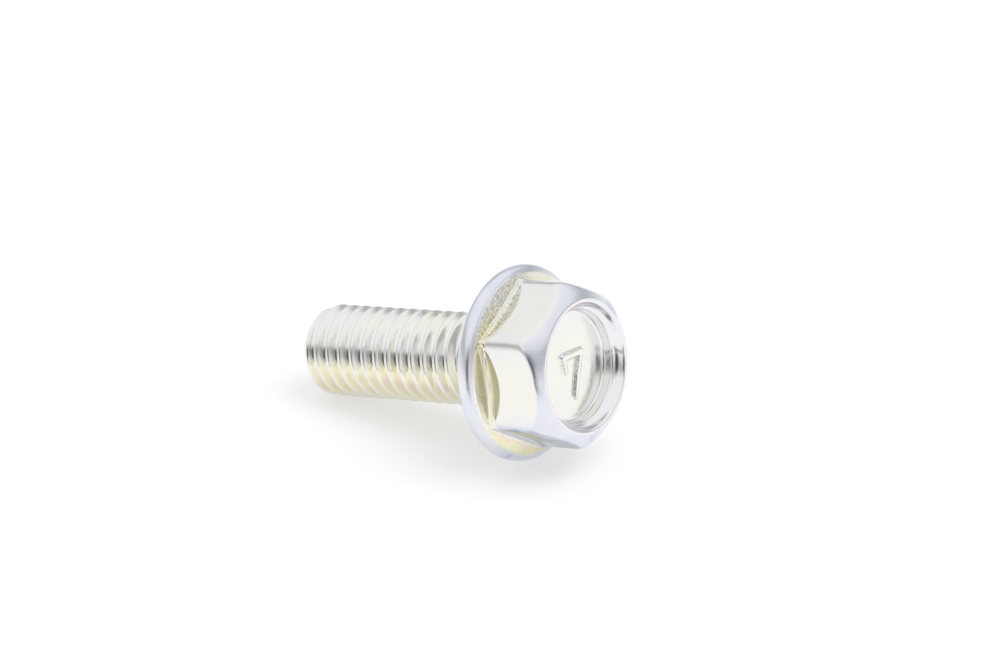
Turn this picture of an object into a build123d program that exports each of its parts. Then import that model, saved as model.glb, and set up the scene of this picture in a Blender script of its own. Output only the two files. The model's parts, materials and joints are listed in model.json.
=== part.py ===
from build123d import *
import os
from math import atan2, ceil, cos, degrees, radians, sin, sqrt, tan

# Flange bolt M6 x 1.0 x 16, one forged and thread-rolled piece (mm).
# Modelled upright: bearing face on z = 0, head above it, shank below it.

# thread and shank
thread_diameter = 6.0        # over the crests
pitch = 1.0
shank_length = 16.0          # bearing face to end face
flank_half_angle = 30.0
crest_share = 0.25           # flat crest, as a share of the pitch
thread_turn = 34.3           # where the thread starts, about the axis
neck_diameter = 5.2          # plain part under the head
neck_length = 2.1
end_diameter = 4.5           # end face inside its chamfer
end_chamfer_angle = 40.0     # chamfer flank from the axis
under_head_cone = (0.2, 0.3) # widening of the neck into the bearing face: out, high

# flange
flange_diameter = 12.5
flange_edge = 1.08           # thickness at the rim
rim_round_top = 0.5
rim_round_bottom = 0.42
round_steps = 2              # cones that make up each round of the rim
rim_turn = 2.28              # seam of the turned faces, off the underside it lies on
flange_slope = 9.0           # rise of the upper face towards the hexagon

# hexagon
across_flats = 9.72
head_height = 5.55           # bearing face to the crown
corner_round = 0.85
foot_height = 1.52           # sharp-cornered foot of the hexagon
foot_corner_round = 0.3
hex_turn = -2.5              # corner off the upright plane through the axis

# crown: round shoulder from the corners to the lip
shoulder_low = 4.0           # where it meets the corners
shoulder_mid = 5.12          # where it meets the middle of a flat

# crescent hollows above the foot on every flat
hollow_radius = 22.0
hollow_top = 2.32

# round recess in the head
recess_mouth = 8.1
recess_step = 7.3
recess_floor = 6.7
recess_step_depth = 0.62
recess_depth = 1.35

crest_r = thread_diameter / 2
flange_r = flange_diameter / 2
apothem = across_flats / 2
corner_r = apothem / cos(radians(30))


def turned(points):
    """Solid of revolution about Z of a closed half-section given as (radius, z) points."""
    with BuildPart() as made:
        with BuildSketch(Plane.XZ):
            with BuildLine():
                Polyline(*points, close=True)
            make_face()
        revolve(axis=Axis.Z)
    return made.part


def arc(center, radius, start, stop, steps):
    """Points in even steps along an arc in the (radius, z) plane, angles from +radius."""
    angles = [radians(start + (stop - start) * i / steps) for i in range(steps + 1)]
    return [(center[0] + radius * cos(a), center[1] + radius * sin(a)) for a in angles]


# --- flange with its round rim, tangent to the sloping upper face
rim_c = flange_r - rim_round_bottom
top_c = flange_r - rim_round_top
top_z = flange_edge - rim_round_top
rim_low = arc((rim_c, rim_round_bottom), rim_round_bottom, -90, 0, round_steps)
rim_top = arc((top_c, top_z), rim_round_top, 0, 90 - flange_slope, round_steps)
hex_meet = rim_top[-1][1] + (rim_top[-1][0] - apothem) * tan(radians(flange_slope))
flange = Rot(0, 0, rim_turn) * turned([
    (0, 0), *rim_low, *rim_top, (apothem, hex_meet), (0, hex_meet),
])

# --- hexagon: a sharp foot and the round-cornered body above it
foot = extrude(RegularPolygon(corner_r, 6), foot_height)
foot = fillet(foot.edges().filter_by(Axis.Z), foot_corner_round)
body = extrude(RegularPolygon(corner_r, 6), head_height)
body = fillet(body.edges().filter_by(Axis.Z), corner_round)

# crescent hollows: a large ball bites each flat, down to the foot
half_side = corner_r / 2
rise = hollow_top - foot_height
arc_r = (half_side ** 2 + rise ** 2) / (2 * rise)
ball_out = sqrt(hollow_radius ** 2 - arc_r ** 2)
above_foot = Pos(0, 0, foot_height + head_height / 2) * Box(60, 60, head_height)
ball = Pos(apothem + ball_out, 0, hollow_top - arc_r) * Sphere(hollow_radius)
bite = ball & above_foot
for k in range(6):
    body = body - Rot(0, 0, 60 * k + 30) * bite

# round shoulder of the crown, one arc of revolution
mouth_r = recess_mouth / 2
with BuildPart() as crown:
    with BuildSketch(Plane.XZ):
        with BuildLine():
            shoulder = ThreePointArc((corner_r, shoulder_low), (apothem, shoulder_mid),
                                     (mouth_r + 0.22, head_height))
            Polyline(shoulder @ 1, (0, head_height), (0, 0), (corner_r, 0), shoulder @ 0)
        make_face()
    revolve(axis=Axis.Z)
body = body & crown.part

# --- recess, with a step ring below the lip
floor_z = head_height - recess_depth
step_z = head_height - recess_step_depth
pocket = turned([
    (0, floor_z), (recess_floor / 2, floor_z), (recess_step / 2 - 0.1, step_z),
    (recess_step / 2, step_z), (mouth_r, head_height), (mouth_r, head_height + 1),
    (0, head_height + 1),
])
head = flange + Rot(0, 0, hex_turn) * (foot + body) - pocket

# --- threaded rod: ruled faces between helices, turn after turn, closed by caps
crest_width = crest_share * pitch
flank_rise = (pitch - crest_width) / 2
root_r = crest_r - flank_rise / tan(radians(flank_half_angle))
profile = [
    (crest_r, 0), (crest_r, crest_width), (root_r, crest_width + flank_rise), (crest_r, pitch),
]
turns = ceil((shank_length - neck_length) / pitch + 1.2)
rod_low = -shank_length - 1.1 * pitch


def wind(radius, z):
    """One turn of a right-hand helix."""
    return (Pos(0, 0, z) * Helix(pitch, pitch, radius)).edge()


faces = []
for k in range(turns):
    z = rod_low + k * pitch
    for (ra, za), (rb, zb) in zip(profile, profile[1:]):
        faces.append(Face.make_surface_from_curves(wind(ra, z + za), wind(rb, z + zb)))
for z in (rod_low, rod_low + turns * pitch):
    core = Edge.make_line((0, 0, z), (0, 0, z + pitch))
    faces.append(Face.make_surface_from_curves(wind(crest_r, z), core))
    outline = [(0, 0, z)] + [(r, 0, z + h) for r, h in profile] + [(0, 0, z + pitch)]
    faces += make_face(Polyline(*outline, close=True)).faces()
rod = Rot(0, 0, thread_turn) * Solid(Shell(faces))

# chamfered end below, chamfered run-out above, and the plain neck
end_r = end_diameter / 2
neck_r = neck_diameter / 2
wide = crest_r + 1
chamfer_height = (crest_r - end_r) / tan(radians(end_chamfer_angle))
end_rise = (wide - end_r) / tan(radians(end_chamfer_angle))
rod = rod - Rot(0, 0, rim_turn) * turned([
    (0, -shank_length), (end_r, -shank_length), (wide, end_rise - shank_length),
    (wide, rod_low - 1), (0, rod_low - 1),
])
rod = rod - turned([
    (0, -neck_length), (neck_r, -neck_length), (wide, neck_r - wide - neck_length),
    (wide, 1), (0, 1),
])
cone_out, cone_high = under_head_cone
neck = turned([
    (0, -neck_length - 0.1), (neck_r, -neck_length - 0.1), (neck_r, -cone_high),
    (neck_r + cone_out, 0), (neck_r + cone_out, 0.5), (0, 0.5),
])
bolt = head + (rod + neck)

# --- lying at rest: on the flange rim and on the thread near its end
chamfer_top = chamfer_height - shank_length
crest_low = rod_low - pitch * thread_turn / 360
crest_low += pitch * ceil((chamfer_top - crest_width - crest_low) / pitch)
last_crest = max(crest_low, chamfer_top)
rest_tilt = max(degrees(atan2(r - crest_r, z - last_crest)) for r, z in rim_low)
bolt = Rot(0, 90 - rest_tilt, 0) * bolt

bolt.label = "flange_bolt"
os.makedirs("parts", exist_ok=True)
export_step(bolt, "parts/flange_bolt.step")
print(bolt.is_valid, len(bolt.solids()), bolt.volume, bolt.bounding_box(), rest_tilt)
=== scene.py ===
# %% [markdown]
# # A zinc-plated flange bolt
# The real bolt is one piece: its head, its recess and its flange are forged cold, its
# thread is rolled, and the whole is plated with zinc. This script takes the place and
# the tilt of the bolt from the construction frame and gives it its looks.

import json
from math import asin, atan2, cos, degrees, pi, radians, sin, sqrt, tan

import bmesh
import bpy
import numpy as np
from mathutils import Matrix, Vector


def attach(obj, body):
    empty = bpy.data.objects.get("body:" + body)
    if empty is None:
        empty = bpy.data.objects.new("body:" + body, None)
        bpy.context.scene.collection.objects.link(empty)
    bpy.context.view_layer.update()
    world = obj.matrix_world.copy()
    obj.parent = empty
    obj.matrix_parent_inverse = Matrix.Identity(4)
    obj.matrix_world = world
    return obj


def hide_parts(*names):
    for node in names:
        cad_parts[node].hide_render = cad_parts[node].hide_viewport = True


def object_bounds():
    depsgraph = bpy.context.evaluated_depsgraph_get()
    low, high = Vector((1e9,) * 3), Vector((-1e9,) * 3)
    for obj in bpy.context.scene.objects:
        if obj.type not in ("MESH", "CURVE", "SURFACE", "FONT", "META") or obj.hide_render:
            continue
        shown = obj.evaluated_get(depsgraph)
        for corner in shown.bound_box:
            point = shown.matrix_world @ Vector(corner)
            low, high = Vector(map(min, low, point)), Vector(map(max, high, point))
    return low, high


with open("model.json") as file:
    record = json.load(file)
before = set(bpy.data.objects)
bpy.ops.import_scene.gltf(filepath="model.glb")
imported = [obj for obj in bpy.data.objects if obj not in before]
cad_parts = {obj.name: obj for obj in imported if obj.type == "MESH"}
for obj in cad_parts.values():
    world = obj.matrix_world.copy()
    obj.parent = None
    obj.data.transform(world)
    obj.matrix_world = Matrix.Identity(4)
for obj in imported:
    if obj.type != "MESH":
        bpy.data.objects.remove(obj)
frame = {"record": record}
cad_low, cad_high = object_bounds()
print("frame box in mm", [round(v * 1000, 2) for v in (*cad_low, *cad_high)])

# %% [markdown]
# ## The bolt's own axes
# The bolt lies on its flange and on the end of its thread, so its axis is tilted. All
# shapes are worked out upright, with the bearing face at z = 0, the head above it and
# the shank below it, and are laid over at the end. The record says where the axis points.

# %% Axes
MM = 0.001
bearing = next(m for m in frame["record"]["mounts"] if m["name"] == "bearing_face")
axis = -np.array(bearing["axis"])
axis = axis / np.linalg.norm(axis)
down = np.array((axis[2], 0.0, -axis[0]))
across = np.array((0.0, 1.0, 0.0))
print("the axis rises", round(degrees(asin(axis[2])), 2), "degrees towards the head")


def laid(points):
    """Upright points in mm become points of the frame in metres: x runs down, z along the axis."""
    turned = points[:, :1] * down + points[:, 1:2] * across + points[:, 2:3] * axis
    return turned * MM


# %% [markdown]
# ## Curves that meet softly
# Rolled and forged metal has no knife edges. Two small functions do most of the
# rounding: one blends two curves where they cross, the other fades one thing into the next.

# %% Soft functions
def soft_min(a, b, k):
    """The smaller of two values, their crossing rounded over about k: -k log(e^(-a/k) + e^(-b/k))."""
    return -k * np.logaddexp(-a / k, -b / k)


def ease(x, start, end):
    """0 before start, 1 after end, and the smooth 3t^2 - 2t^3 between."""
    t = np.clip((x - start) / (end - start), 0, 1)
    return t * t * (3 - 2 * t)


# %% [markdown]
# ## From arrays to a mesh
# Every surface of the bolt is a grid of points, worked out as one array. A grid of
# closed rings is joined by four-sided faces, and a fan of triangles closes each end.

# %% Mesh helpers
def grid_faces(rows, columns, first=0):
    """Faces between rows of closed rings: each joins a point, its neighbour and the two below."""
    i = np.arange(rows - 1)[:, None] * columns
    j = np.arange(columns)[None, :]
    k = (j + 1) % columns
    quads = np.stack([i + j, i + columns + j, i + columns + k, i + k], -1).reshape(-1, 4)
    return quads + first


def fan_faces(centre, ring, flip=False):
    """Triangles that close a ring of points onto one centre point."""
    a, b = (np.roll(ring, -1), ring) if flip else (ring, np.roll(ring, -1))
    return np.stack([np.full(len(ring), centre), a, b], -1)


def make_mesh(name, points, quads, triangles, **layers):
    """A mesh from arrays of points and faces, with one float attribute for each named layer."""
    mesh = bpy.data.meshes.new(name)
    loops = np.concatenate([quads.ravel(), triangles.ravel()]).astype(np.int32)
    sizes = np.concatenate([np.full(len(quads), 4), np.full(len(triangles), 3)])
    starts = np.concatenate([[0], np.cumsum(sizes)[:-1]]).astype(np.int32)
    mesh.vertices.add(len(points))
    mesh.vertices.foreach_set("co", laid(points).astype(np.float32).ravel())
    mesh.loops.add(len(loops))
    mesh.loops.foreach_set("vertex_index", loops)
    mesh.polygons.add(len(sizes))
    mesh.polygons.foreach_set("loop_start", starts)
    mesh.update(calc_edges=True)
    mesh.polygons.foreach_set("use_smooth", np.ones(len(sizes), dtype=bool))
    for layer, values in layers.items():
        mesh.attributes.new(layer, "FLOAT", "POINT").data.foreach_set(
            "value", values.astype(np.float32).ravel())
    mesh.validate()
    return mesh


# %% [markdown]
# ## Head
# A forged head is round in some places and six-sided in others. One grid covers it all:
# every column is a direction about the axis and every row a step of a path that starts
# in the middle of the recess, climbs over the lip, runs down the flats and out over the
# flange to its underside. Only the radius and the height change with the direction.

# %% Directions about the axis, and the six-sided outline
COLUMNS = 384
APOTHEM = 4.86
HEX_TURN = radians(-2.5)
theta = np.arange(COLUMNS) * 2 * pi / COLUMNS
from_corner = (theta - HEX_TURN + pi / 6) % (pi / 3) - pi / 6
from_flat = (theta - HEX_TURN) % (pi / 3) - pi / 6


def hexagon(corner_round, sunk=0.0):
    """Radius of a hexagon in each direction.

    A flat lies at (apothem - sunk) / cos of the angle from its middle. A corner is an
    arc that touches both of its flats.
    """
    centre = (APOTHEM - corner_round) / cos(pi / 6)
    tangent = atan2(corner_round / 2, centre + corner_round * cos(pi / 6))
    inside = np.maximum(corner_round ** 2 - (centre * np.sin(from_corner)) ** 2, 0)
    arc = centre * np.cos(from_corner) + np.sqrt(inside)
    return np.where(np.abs(from_corner) < tangent, arc, (APOTHEM - sunk) / np.cos(from_flat))


CORNER_ROUND = 1.0
FOOT_ROUND = 0.3
body = hexagon(CORNER_ROUND)
foot = hexagon(FOOT_ROUND)
print("body over its corners in mm:", round(2 * body.max(), 2))

# %% [markdown]
# ### Plating, grain and painted shade from side to side
# The film is not even all round, and neither is the skin of the steel: two opposite
# sides kept the grain of the forging die, and the front took more chromate. On the flat
# that faces down, the film is thinned to dark blue grey as painted shade: the floor in
# the bolt's shadow, as that flat mirrors it. These are masks from 0 to 1 over the
# directions, and the rows of the head mix them.

# %% Masks over the directions
def facing(angle, start, end):
    """1 in the directions near an angle in degrees: the cosine of the turn from it, eased."""
    return ease(np.cos(theta - radians(angle)), start, end)


grainy = 0.1 + 0.9 * ease(np.abs(np.cos(theta - radians(205))), 0.76, 0.90)
front_side = ease(0.5 + 0.5 * np.cos(theta - radians(290)), 0.2, 0.9)
upper_side = facing(150, 0.6, 0.9)
# painted shade: the flat that faces down gets a thin, dark blue grey film for the shadowed floor it
# mirrors
painted_shade_flat = facing(327.5, 0.80, 0.90)
near_corner = ease(np.cos(from_corner), cos(radians(13)), cos(radians(4)))
flat_film_and_shade = (0.42 + 0.12 * front_side) * (1 - 0.9 * painted_shade_flat) * (1 - 0.25 * near_corner)
foot_film = 0.4 + 0.32 * front_side
print("film on the flats:", round(flat_film_and_shade.min(), 2), "to", round(flat_film_and_shade.max(), 2))

# %% [markdown]
# ### Rows
# A row holds a radius and a height in each direction, and how the surface is finished
# there. forged is the die's grain. film is how thick the chromate is: 0 is blue grey,
# 0.2 lilac, 0.5 pale green, 0.8 yellow; on the flat that faces down it is thinned further
# to paint shade. satin is how much the face was dulled.

# %% Collecting rows
rows = {"r": [], "z": [], "forged": [], "film_and_shade": [], "satin": []}


def add_row(r, z, forged=0.0, film_and_shade=0.5, satin=0.0):
    """One ring of the head. Each value is a number, or an array with one for each direction."""
    for key, value in zip(rows, (r, z, forged, film_and_shade, satin)):
        rows[key].append(value + np.zeros(COLUMNS))


# %% [markdown]
# ### Recess and numeral
# The punch that forms the recess also raises the strength numeral on its floor. The
# numeral is a path of four strokes, and the floor rises where it is nearer to a stroke
# than that stroke's half width. The wall has a small step ring below the lip.

# %% The recess floor with its numeral
HEAD_HEIGHT = 5.55
FLOOR_Z = 4.2
FLOOR_R = 3.28
FLOOR_ROWS = 54
NUMERAL = np.array([(-0.54, 0.2), (-0.58, -0.70), (1.25, -0.56), (0.55, 0.75), (0.05, 2.0)])
NUMERAL_HALF = np.array([0.15, 0.21, 0.19, 0.18])
NUMERAL_RISE = 0.2


def numeral(u, w):
    """Height of the numeral: 1 within its half width of any stroke, falling off smoothly at the sides."""
    raised = np.zeros_like(u)
    for a, b, half in zip(NUMERAL, NUMERAL[1:], NUMERAL_HALF):
        run = b - a
        t = np.clip(((u - a[0]) * run[0] + (w - a[1]) * run[1]) / (run @ run), 0, 1)
        gap = np.hypot(u - a[0] - t * run[0], w - a[1] - t * run[1])
        raised = np.maximum(raised, 1 - ease(gap, half - 0.05, half + 0.07))
    return raised


for r in np.linspace(0.03, FLOOR_R, FLOOR_ROWS):
    lift = numeral(r * np.sin(theta), r * np.cos(theta))
    # the sides of the strokes, where the punch let go, are the roughest
    add_row(r, FLOOR_Z + NUMERAL_RISE * lift, 3 * lift * (1 - lift))

# %% The recess wall, from the floor over the step ring to the lip
WALL = np.array([
    (3.30, FLOOR_Z), (3.46, 4.22), (3.54, 4.34), (3.58, 4.62), (3.61, 4.84), (3.66, 4.92),
    (3.72, 4.94), (3.78, 4.99), (3.88, 5.12), (3.97, 5.30), (4.03, 5.44), (4.09, 5.53),
    (4.16, 5.555), (4.24, HEAD_HEIGHT),
])


def resampled(path, count):
    """A path drawn through the points with count even steps along its length."""
    length = np.concatenate([[0], np.cumsum(np.hypot(*np.diff(path, axis=0).T))])
    at = np.linspace(0, length[-1], count)
    return np.stack([np.interp(at, length, path[:, 0]), np.interp(at, length, path[:, 1])], 1)


for r, z in resampled(WALL, 26):
    add_row(r, z, film_and_shade=0.3)
print("recess:", len(rows["r"]), "rows,", round(HEAD_HEIGHT - FLOOR_Z, 2), "mm deep")

# %% [markdown]
# ### Crown
# The shoulder of the head is a round form that the six flats cut off. Its section is
# one arc through three points. In each direction the surface takes the smaller radius,
# the arc's or the hexagon's, so the curved line where they meet needs no drawing.

# %% The crown
SHOULDER = np.array([(4.30, HEAD_HEIGHT), (4.88, 5.12), (5.66, 4.0)])


def arc_through(a, b, c, count):
    """Points of the circle through a, b and c: its centre is as far from a as from b and from c."""
    centre = np.linalg.solve(2 * np.array([b - a, c - a]), [b @ b - a @ a, c @ c - a @ a])
    radius = np.hypot(*(a - centre))
    start, stop = (atan2(*(p - centre)[::-1]) for p in (a, c))
    turn = np.linspace(start, stop, count)
    return centre + radius * np.stack([np.cos(turn), np.sin(turn)], 1)


for r, z in arc_through(*SHOULDER, 28):
    lying = ease(r - body, -0.15, 0.1)
    add_row(soft_min(r, body, 0.07), z, film_and_shade=0.16 * (1 - lying) + flat_film_and_shade * lying, satin=1 - lying)
print("crown: arc from", SHOULDER[0], "to", SHOULDER[-1])

# %% [markdown]
# ### Flats and crescent hollows
# At the foot of each flat the forging die left a straight strip from corner to corner,
# with a crescent hollow above it. A very large ball that bites into the flat gives just
# that crescent: its edge on the flat is a circle, and the foot cuts the circle off.

# %% The flats, with their hollows and the foot
FOOT_HEIGHT = 1.5
HOLLOW_TOP = 2.32
HOLLOW_HALF = 2.45
HOLLOW_BALL = 17.0


def hollow(z):
    """How deep the ball bites each flat at height z: its circle on the flat ends at the foot's corners."""
    rise = HOLLOW_TOP - FOOT_HEIGHT
    circle = (HOLLOW_HALF ** 2 + rise ** 2) / (2 * rise)
    out = sqrt(HOLLOW_BALL ** 2 - circle ** 2)
    along = APOTHEM * np.tan(from_flat)
    reach = HOLLOW_BALL ** 2 - (z - HOLLOW_TOP + circle) ** 2 - along ** 2
    depth = np.sqrt(np.maximum(reach, 0)) - out
    return np.maximum(depth, 0) * (1 - ease(np.abs(along), 2.25, 2.5))


# flat, hollow and foot under the flat that faces down keep a thin film: painted shade
for z in np.concatenate([np.linspace(3.9, 2.5, 10), np.linspace(2.42, 1.62, 16)]):
    sunk = hollow(z)
    bitten = np.clip(sunk / 0.02, 0, 1)
    add_row(hexagon(CORNER_ROUND, sunk), z, bitten * grainy,
            flat_film_and_shade + bitten * 0.27 * front_side * (1 - painted_shade_flat), 0.9 * bitten)
# the hollow's lower edge steps out to the foot
for z, share in zip(np.linspace(1.58, 1.46, 7), ease(np.linspace(0, 1, 7), 0, 1)):
    sunk = hollow(max(z, FOOT_HEIGHT))
    add_row(hexagon(CORNER_ROUND, sunk) * (1 - share) + foot * share, z, (1 - share) * grainy,
            foot_film * (1 - 0.8 * painted_shade_flat))
print("hollow:", round(hollow(FOOT_HEIGHT).max(), 3), "mm deep at the foot")

# %% [markdown]
# ### Flange
# The flange is forged in one with the head and is round all the way. A small fillet
# leads from the foot onto its upper face, which falls gently to a rounded rim.

# %% The flange
FLANGE_R = 6.25
FLANGE_EDGE = 1.08
FLANGE_SLOPE = radians(9)
FOOT_FILLET = 0.12
RIM_TOP, RIM_LOW = 0.5, 0.42
RIM_FILM = 0.17


def flange_top(r):
    """Height of the flange's upper face, which rises from its rim to the hexagon."""
    return FLANGE_EDGE + (FLANGE_R - r) * tan(FLANGE_SLOPE)


fillet_r = foot + FOOT_FILLET
fillet_z = flange_top(fillet_r) + FOOT_FILLET
# the fillet below the flat that faces down gets a thinner film too: painted shade
for a in np.linspace(0, pi / 2, 6):
    add_row(fillet_r - FOOT_FILLET * cos(a), fillet_z - FOOT_FILLET * sin(a), a / (pi / 2) * grainy,
            foot_film * (1 - 0.5 * painted_shade_flat))
rim_r, rim_z = FLANGE_R - RIM_TOP, FLANGE_EDGE - RIM_TOP
slope_end = rim_r + RIM_TOP * sin(FLANGE_SLOPE)
for share in np.linspace(0.1, 1, 9):
    r = fillet_r + (slope_end - fillet_r) * share
    add_row(r, flange_top(r) - 0.02 * share, (1.0 - 0.3 * share) * grainy,
            0.48 + 0.34 * front_side + 0.2 * painted_shade_flat + 0.3 * upper_side - 0.2 * share)
# the round rim, and the flat underside
for a in np.linspace(pi / 2 - FLANGE_SLOPE, 0, 10)[1:]:
    add_row(rim_r + RIM_TOP * cos(a), rim_z + RIM_TOP * sin(a), film_and_shade=RIM_FILM, satin=1.0)
for a in np.linspace(0, pi / 2, 9):
    add_row(FLANGE_R - RIM_LOW + RIM_LOW * cos(a), RIM_LOW - RIM_LOW * sin(a),
            film_and_shade=RIM_FILM, satin=1.0)
for r in (5.4, 4.2, 2.9):
    add_row(r, 0.0)

# %% The head's points and faces
head = {key: np.array(values) for key, values in rows.items()}
head_points = np.stack([head["r"] * np.cos(theta), head["r"] * np.sin(theta), head["z"]], -1)
head_points = head_points.reshape(-1, 3)
top_pole, low_pole = len(head_points), len(head_points) + 1
head_points = np.vstack([head_points, (0, 0, FLOOR_Z), (0, 0, 0.0)])
first_ring = np.arange(COLUMNS)
last_ring = first_ring + (len(head["r"]) - 1) * COLUMNS
head_quads = grid_faces(len(head["r"]), COLUMNS)
head_triangles = np.vstack([fan_faces(top_pole, first_ring), fan_faces(low_pole, last_ring, flip=True)])
print("head:", len(head["r"]), "rows,", 2 * len(head_quads), "triangles")

# %% [markdown]
# ## Thread
# A rolled thread is one groove wound round the shank. The grid follows the groove: one
# direction goes round the helix, the other across its profile from crest to crest, and
# the last line of each turn is the first line of the next.

# %% The thread's section
PITCH = 1.0
CREST_R = 3.0
ROOT_R = 2.42
CREST_SOFT = 0.022
ROOT_SOFT = 0.11
FLANK_START = 2.29
FLANK_RISE = 1.58


def thread_profile(v):
    """Radius across one pitch, v from 0 to 1.

    The flanks rise evenly on both sides of the groove's middle. The root rounds them
    off widely, and the crest tightly.
    """
    from_groove = np.abs((v - 0.125) % 1.0 - 0.5)
    flank = FLANK_START + FLANK_RISE * from_groove
    return -soft_min(-soft_min(flank, CREST_R, CREST_SOFT), -ROOT_R, ROOT_SOFT)


# %% [markdown]
# The groove is wound a little past both ends of the thread. At the end of the shank a
# cone cuts it off, and at the neck it fades out. Points past an end all move onto the
# ring there, and the merge further down makes them one.

# %% The thread's points
NECK_R = 2.6
NECK_Z = -2.1
END_R = 2.25
END_Z = -16.0
END_CONE = radians(40)
THREAD_TURN = radians(34.3)
AROUND, ACROSS, TURNS = 120, 14, 16
steps = np.arange(TURNS * AROUND + 1)[:, None]
v = np.arange(ACROSS) / ACROSS
angle = steps * 2 * pi / AROUND + THREAD_TURN + 0 * v
z = END_Z - 1.1 + PITCH * (steps / AROUND + v)
r = thread_profile(v)[None, :] + 0 * z
r = soft_min(r, END_R + (z - END_Z) * tan(END_CONE), 0.03)
fade = ease(z, NECK_Z - 0.8, NECK_Z)
r = r * (1 - fade) + NECK_R * fade
r = np.where(z <= END_Z, END_R, r)
z = np.clip(z, END_Z, NECK_Z)
thread_points = np.stack([r * np.cos(angle), r * np.sin(angle), z], -1).reshape(-1, 3)

# the film is thicker below, thin on the crests and thin at the end of the shank
lower = ease(np.cos(angle - radians(330)), 0.1, 0.75)
crest = ease(r, 2.75, 3.0)
near_end = ease(-z, 14.9, 15.9)
thread_film = (0.5 + 0.38 * lower - 0.34 * crest * (0.4 + 0.6 * lower)) * (1 - 0.6 * near_end)
print("thread:", round(-END_Z + NECK_Z, 2), "mm long, pitch", PITCH)


# %% The thread's faces
def thread_id(i, j, up):
    """Number of a point; the line above the last one belongs to the next turn."""
    over = up & (j + 1 == ACROSS)
    return np.where(over, (i + AROUND) * ACROSS, i * ACROSS + j + up)


i = np.arange((TURNS - 1) * AROUND)[:, None]
j = np.arange(ACROSS)[None, :]
thread_quads = np.stack([thread_id(i, j, False), thread_id(i + 1, j, False),
                         thread_id(i + 1, j, True), thread_id(i, j, True)], -1).reshape(-1, 4)

# %% [markdown]
# ### Neck and end face
# Between the thread and the flange the shank is plain, and a short cone widens it under
# the head. Two rings lie close together at each edge, so that smooth shading stays
# crisp there.

# %% Neck and end rings, and the two caps
NECK_FLARE = 0.2
neck_path = [(NECK_R, NECK_Z), (NECK_R, -0.36), (NECK_R, -0.3), (NECK_R + 0.04, -0.24),
             (NECK_R + 0.16, -0.06), (NECK_R + NECK_FLARE, 0.0), (NECK_R + NECK_FLARE, 0.25)]
end_path = [(END_R - 0.08, END_Z), (END_R, END_Z)]
ring = np.arange(AROUND)
ring_angle = ring * 2 * pi / AROUND + THREAD_TURN
rings = np.vstack([np.stack([ring_r * np.cos(ring_angle), ring_r * np.sin(ring_angle),
                             ring_z + 0 * ring_angle], 1) for ring_r, ring_z in neck_path + end_path])
first_neck = len(thread_points)
last_neck = first_neck + (len(neck_path) - 1) * AROUND
first_end = last_neck + AROUND
end_pole = first_neck + len(rings)
neck_pole = end_pole + 1
shank_points = np.vstack([thread_points, rings, (0, 0, END_Z), (0, 0, neck_path[-1][1])])
shank_quads = np.vstack([thread_quads, grid_faces(len(neck_path), AROUND, first_neck)[:, ::-1],
                         grid_faces(len(end_path), AROUND, first_end)[:, ::-1]])
shank_triangles = np.vstack([fan_faces(end_pole, first_end + ring, flip=True),
                             fan_faces(neck_pole, last_neck + ring)])
print("shank:", 2 * len(shank_quads), "triangles")

# %% [markdown]
# ## One bolt
# Head and shank become one mesh, because the bolt is one piece. The top of the neck
# stays hidden inside the flange. Each layer is a value at every point that the zinc
# reads; stir says how much the film's thickness wanders from place to place.

# %% Layers
HEAD_STIR, SHANK_STIR = 0.4, 0.85
plain = np.zeros(len(shank_points))


def head_layer(key, pole_value):
    """A layer of the head, row by row, then its two poles."""
    return np.concatenate([head[key].ravel(), [pole_value, pole_value]])


rings_film = np.full(len(shank_points) - thread_film.size, 0.4)
layers = {
    "forged": np.concatenate([head_layer("forged", 0), plain]),
    "film_and_shade": np.concatenate([head_layer("film_and_shade", 0.5), thread_film.ravel(), rings_film]),
    "satin": np.concatenate([head_layer("satin", 0), plain]),
    "stir": np.concatenate([np.full(len(head_points), HEAD_STIR), np.full(len(shank_points), SHANK_STIR)]),
}

# %% The bolt's mesh
shift = len(head_points)
mesh = make_mesh("flange_bolt_visual", np.vstack([head_points, shank_points]),
                 np.vstack([head_quads, shank_quads + shift]),
                 np.vstack([head_triangles, shank_triangles + shift]), **layers)
work = bmesh.new()
work.from_mesh(mesh)
bmesh.ops.remove_doubles(work, verts=work.verts, dist=1e-7)
bmesh.ops.dissolve_degenerate(work, edges=work.edges, dist=1e-8)
open_edges = sum(e.is_boundary for e in work.edges)
volume = work.calc_volume(signed=True)
work.to_mesh(mesh)
work.free()
bolt = bpy.data.objects.new("flange_bolt_visual", mesh)
bpy.context.collection.objects.link(bolt)
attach(bolt, "root")
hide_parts("flange_bolt")
print("open edges:", open_edges, " volume mm3:", round(volume * 1e9, 1))

# %% [markdown]
# ## Zinc
# Bright zinc under a thin chromate film: the metal is pale, and the film tints it
# yellow, green, lilac and blue in soft patches. Where the steel was forged and not
# rubbed smooth by the die, the face keeps a fine grain.

# %% Node helpers
def shader_node(tree, kind, feeds, **settings):
    """A node with its settings. Each input is fed by a value or by another node's output."""
    node = tree.nodes.new("ShaderNode" + kind)
    for name, value in settings.items():
        setattr(node, name, value)
    for name, feed in feeds.items():
        if isinstance(feed, bpy.types.NodeSocket):
            tree.links.new(feed, node.inputs[name])
        else:
            node.inputs[name].default_value = feed
    return node


def set_stops(ramp, stops):
    """Gives a ramp its colours, as pairs of a place and a colour."""
    elements = ramp.color_ramp.elements
    while len(elements) < len(stops):
        elements.new(0.5)
    for element, (place, color) in zip(elements, stops):
        element.position = place
        element.color = (*color, 1)


# %% [markdown]
# A chromate film has the colour of its thickness, like oil on water. So one value, the
# thickness, is stirred by slow noise and then read off a ramp of tints. Other plated
# parts could use the same effect, so it is a node group.

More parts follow.
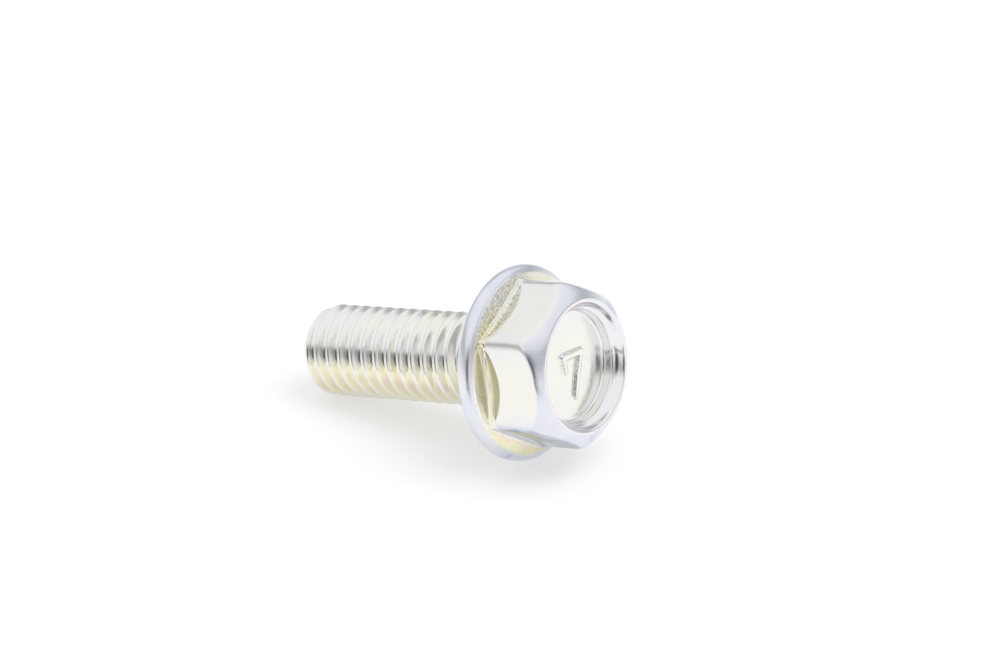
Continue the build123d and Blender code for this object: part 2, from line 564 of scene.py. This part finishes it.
# %% Plating tint
FILM_TINTS = [
    (0.0, (0.25, 0.34, 0.39)), (0.12, (0.77, 0.80, 0.89)), (0.28, (0.87, 0.85, 0.88)),
    (0.42, (0.87, 0.87, 0.85)), (0.56, (0.90, 0.89, 0.82)), (0.74, (0.92, 0.89, 0.71)),
    (0.88, (0.90, 0.86, 0.60)), (1.0, (0.90, 0.76, 0.66)),
]


def plating_group():
    """Film colours: thickness plus depth times (noise - 0.5) reads a ramp of interference tints."""
    group = bpy.data.node_groups.new("plating tint", "ShaderNodeTree")
    for name, kind in (("Position", "Vector"), ("Film", "Float"), ("Patch Scale", "Float"),
                       ("Patch Depth", "Float")):
        group.interface.new_socket(name, in_out="INPUT", socket_type="NodeSocket" + kind)
    group.interface.new_socket("Color", in_out="OUTPUT", socket_type="NodeSocketColor")
    enter, leave = group.nodes.new("NodeGroupInput"), group.nodes.new("NodeGroupOutput")
    noise = shader_node(group, "TexNoise", {
        "Vector": enter.outputs["Position"], "Scale": enter.outputs["Patch Scale"],
        "Detail": 3, "Distortion": 0.6})
    centred = shader_node(group, "Math", {0: noise.outputs["Fac"], 1: 0.5}, operation="SUBTRACT")
    stirred = shader_node(group, "Math", {
        0: centred.outputs[0], 1: enter.outputs["Patch Depth"], 2: enter.outputs["Film"]},
        operation="MULTIPLY_ADD")
    ramp = shader_node(group, "ValToRGB", {"Fac": stirred.outputs[0]})
    set_stops(ramp, FILM_TINTS)
    group.links.new(ramp.outputs["Color"], leave.inputs["Color"])
    return group


# %% [markdown]
# The material reads the layers of the mesh. Its colour is the tint with dark specks,
# which sit mostly in the grain of the forged faces.

# %% Zinc's colour
GRAIN_DARK = (0.22, 0.23, 0.24, 1)
zinc = bpy.data.materials.new("zinc")
zinc.use_nodes = True
paint = zinc.node_tree
shader = paint.nodes["Principled BSDF"]
shader.inputs["Metallic"].default_value = 1.0
place = shader_node(paint, "TexCoord", {}).outputs["Object"]
forged, film_and_shade, satin, stir = (
    shader_node(paint, "Attribute", {}, attribute_name=name).outputs["Fac"]
    for name in ("forged", "film_and_shade", "satin", "stir"))
tint = shader_node(paint, "Group", {}, node_tree=plating_group())
tint.inputs["Patch Scale"].default_value = 420
for name, feed in (("Position", place), ("Film", film_and_shade), ("Patch Depth", stir)):
    paint.links.new(feed, tint.inputs[name])

speck = shader_node(paint, "TexNoise", {"Vector": place, "Scale": 6500, "Detail": 3})
sharp = shader_node(paint, "MapRange", {"Value": speck.outputs["Fac"], "From Min": 0.46, "From Max": 0.66})
share = shader_node(paint, "MapRange", {"Value": forged, "To Min": 0.025, "To Max": 0.62})
both = shader_node(paint, "Math", {0: sharp.outputs["Result"], 1: share.outputs["Result"]},
                   operation="MULTIPLY")
specked = shader_node(paint, "Mix", {}, data_type="RGBA")
specked.inputs["B"].default_value = GRAIN_DARK
paint.links.new(both.outputs[0], specked.inputs["Factor"])
paint.links.new(tint.outputs["Color"], specked.inputs["A"])
paint.links.new(specked.outputs["Result"], shader.inputs["Base Color"])

# %% [markdown]
# Three reliefs lie on each other: long soft waves, a fine skin everywhere, and the
# coarse grain of the forged faces. Grain and dulled faces also blur what they mirror.

# %% Zinc's relief and roughness
def relief(scale, detail, distance, strength, under=None):
    """A noise of that scale as a bump; under is the bump it lies on, distances are in metres."""
    noise = shader_node(paint, "TexNoise", {"Vector": place, "Scale": scale, "Detail": detail})
    bump = shader_node(paint, "Bump", {"Height": noise.outputs["Fac"], "Distance": distance,
                                       "Strength": strength})
    if under:
        paint.links.new(under.outputs["Normal"], bump.inputs["Normal"])
    return bump


waves = relief(900, 2, 0.00005, 0.4)
skin = relief(9000, 3, 0.00001, 0.3, waves)
grain_strength = shader_node(paint, "Math", {0: forged, 1: 0.85}, operation="MULTIPLY")
grain = relief(5200, 4, 0.00006, grain_strength.outputs[0], skin)
paint.links.new(grain.outputs["Normal"], shader.inputs["Normal"])
rough = shader_node(paint, "MapRange", {"Value": forged, "To Min": 0.15, "To Max": 0.32})
dulled = shader_node(paint, "Math", {0: satin, 1: 0.11, 2: rough.outputs["Result"]},
                     operation="MULTIPLY_ADD")
paint.links.new(dulled.outputs[0], shader.inputs["Roughness"])
mesh.materials.append(zinc)

# %% [markdown]
# ## Studio
# A small shiny part shows its surroundings. White all round would make it flat, so the
# surroundings are pale overhead, white at the floor and dim in a belt above the horizon.

# %% Camera
CAMERA_PLACE = (121.24, -164.87, 93.54)
CAMERA_LOOK = (-0.54455, 0.73260, -0.40837)
camera_data = bpy.data.cameras.new("studio_camera")
camera_data.sensor_width = 36.0
camera_data.lens = 127.6
camera = bpy.data.objects.new("studio_camera", camera_data)
bpy.context.collection.objects.link(camera)
camera.location = np.array(CAMERA_PLACE) * MM
pitch_down = atan2(CAMERA_LOOK[2], sqrt(CAMERA_LOOK[0] ** 2 + CAMERA_LOOK[1] ** 2))
camera.rotation_euler = (radians(90) + pitch_down, 0.0, atan2(-CAMERA_LOOK[0], CAMERA_LOOK[1]))
bpy.context.scene.camera = camera


# %% [markdown]
# ### Floor and black card
# The floor is white card. It glows a little for the camera and for reflections only, so
# it meets the white surroundings without an edge and still takes the bolt's shadow. A
# black card lies on it in front of the bolt, outside the picture. Bright metal takes its
# outline from such dark edges, so only reflections can see that card.

# %% Sheets of the stage
def stage_sheet(name, corners, material):
    """A flat sheet through four corners that belongs to the stage and not to the bolt."""
    sheet_mesh = bpy.data.meshes.new(name)
    sheet_mesh.from_pydata(corners, [], [(0, 1, 2, 3)])
    sheet_mesh.materials.append(material)
    sheet = bpy.data.objects.new(name, sheet_mesh)
    bpy.context.collection.objects.link(sheet)
    return sheet


# %% Floor
FLOOR_HALF = 2.0
GLOW_SHARE, CAMERA_EXTRA = 0.5, 0.06
floor_z = cad_low[2]
floor_paint = bpy.data.materials.new("white_floor")
floor_paint.use_nodes = True
tree = floor_paint.node_tree
matt = tree.nodes["Principled BSDF"]
matt.inputs["Base Color"].default_value = (0.94, 0.94, 0.94, 1)
matt.inputs["Roughness"].default_value = 0.7
glow = shader_node(tree, "Emission", {"Color": (1, 1, 1, 1)})
ray = shader_node(tree, "LightPath", {})
either = shader_node(tree, "Math", {0: ray.outputs["Is Camera Ray"], 1: ray.outputs["Is Glossy Ray"]},
                     operation="MAXIMUM")
half = shader_node(tree, "Math", {0: either.outputs[0], 1: GLOW_SHARE}, operation="MULTIPLY")
seen = shader_node(tree, "Math", {0: ray.outputs["Is Camera Ray"], 1: CAMERA_EXTRA, 2: half.outputs[0]},
                   operation="MULTIPLY_ADD")
mixed = shader_node(tree, "MixShader", {"Fac": seen.outputs[0], 1: matt.outputs["BSDF"],
                                        2: glow.outputs["Emission"]})
tree.links.new(mixed.outputs["Shader"], tree.nodes["Material Output"].inputs["Surface"])
stage_sheet("floor", [(x, y, floor_z) for x, y in ((-FLOOR_HALF, -FLOOR_HALF), (FLOOR_HALF, -FLOOR_HALF),
                                                   (FLOOR_HALF, FLOOR_HALF), (-FLOOR_HALF, FLOOR_HALF))],
            floor_paint)

# %% Black card
CARD_NEAR, CARD_FAR, CARD_HALF = 0.048, 0.16, 0.035
CARD_LIFT = 0.0002
ahead = np.array((0.593, -0.805, 0.0))
aside = np.array((0.805, 0.593, 0.0))
card_paint = bpy.data.materials.new("black_card")
card_paint.use_nodes = True
card_paint.node_tree.nodes["Principled BSDF"].inputs["Base Color"].default_value = (0.05, 0.05, 0.07, 1)
card = stage_sheet("black_card", [
    tuple(ahead * a + aside * b + (0, 0, floor_z + CARD_LIFT))
    for a, b in ((CARD_NEAR, -CARD_HALF), (CARD_NEAR, CARD_HALF),
                 (CARD_FAR, CARD_HALF), (CARD_FAR, -CARD_HALF))], card_paint)
card.visible_camera = card.visible_diffuse = card.visible_shadow = False
print("card from", CARD_NEAR * 1000, "to", CARD_FAR * 1000, "mm ahead")

# %% [markdown]
# ### Surroundings
# The belt is a ramp over the height of a direction. A soft dark patch behind the camera
# stands for the unlit room: it gives every thread its dark line. The camera itself sees
# plain white instead, so the picture has a clean ground.

# %% Surroundings
BELT = [(0.0, 0.92), (0.12, 0.84), (0.27, 0.56), (0.40, 0.46), (0.50, 0.74), (0.60, 0.95), (1.0, 0.98)]
world = bpy.data.worlds.new("studio")
bpy.context.scene.world = world
world.use_nodes = True
tree = world.node_tree
direction = shader_node(tree, "TexCoord", {}).outputs["Generated"]
height = shader_node(tree, "SeparateXYZ", {"Vector": direction}).outputs["Z"]
belt = shader_node(tree, "ValToRGB", {"Fac": height})
set_stops(belt, [(at, (level, level, level * 1.01)) for at, level in BELT])


def dark_patch(towards, edge, core, level, under):
    """A soft dark patch round a direction: full inside core degrees, gone outside edge degrees."""
    aimed = shader_node(tree, "VectorMath", {0: direction}, operation="DOT_PRODUCT")
    aimed.inputs[1].default_value = np.array(towards) / np.linalg.norm(towards)
    spread = shader_node(tree, "MapRange", {
        "Value": aimed.outputs["Value"], "From Min": cos(radians(edge)), "From Max": cos(radians(core))},
        interpolation_type="SMOOTHSTEP")
    return shader_node(tree, "Mix", {
        "Factor": spread.outputs["Result"], "A": under, "B": (level, level, level * 1.1, 1)},
        data_type="RGBA").outputs["Result"]


room = dark_patch((0.58, -0.78, 0.25), 22, 11, 0.07, belt.outputs["Color"])
ray = shader_node(tree, "LightPath", {})
shown = shader_node(tree, "Mix", {"Factor": ray.outputs["Is Camera Ray"], "A": room, "B": (1, 1, 1, 1)},
                    data_type="RGBA")
tree.links.new(shown.outputs["Result"], tree.nodes["Background"].inputs["Color"])


# %% [markdown]
# ### Lamp
# One soft lamp beyond the head gives the shadow a direction. It stays out of the
# reflections, where its outline would show as a hard square.

# %% Overhead lamp
def soft_lamp(name, place, size, watts):
    """A square lamp that looks at the bolt."""
    data = bpy.data.lights.new(name, "AREA")
    data.size = size
    data.energy = watts
    lamp = bpy.data.objects.new(name, data)
    bpy.context.collection.objects.link(lamp)
    lamp.visible_glossy = False
    lamp.location = place
    aim = -np.array(place)
    tip = atan2(sqrt(aim[0] ** 2 + aim[1] ** 2), -aim[2])
    lamp.rotation_euler = (tip, 0, atan2(aim[1], aim[0]) - pi / 2)
    return lamp


soft_lamp("overhead_lamp", (0.26, 0.06, 0.52), 0.4, 1.5)
bpy.context.scene.view_settings.view_transform = "Standard"
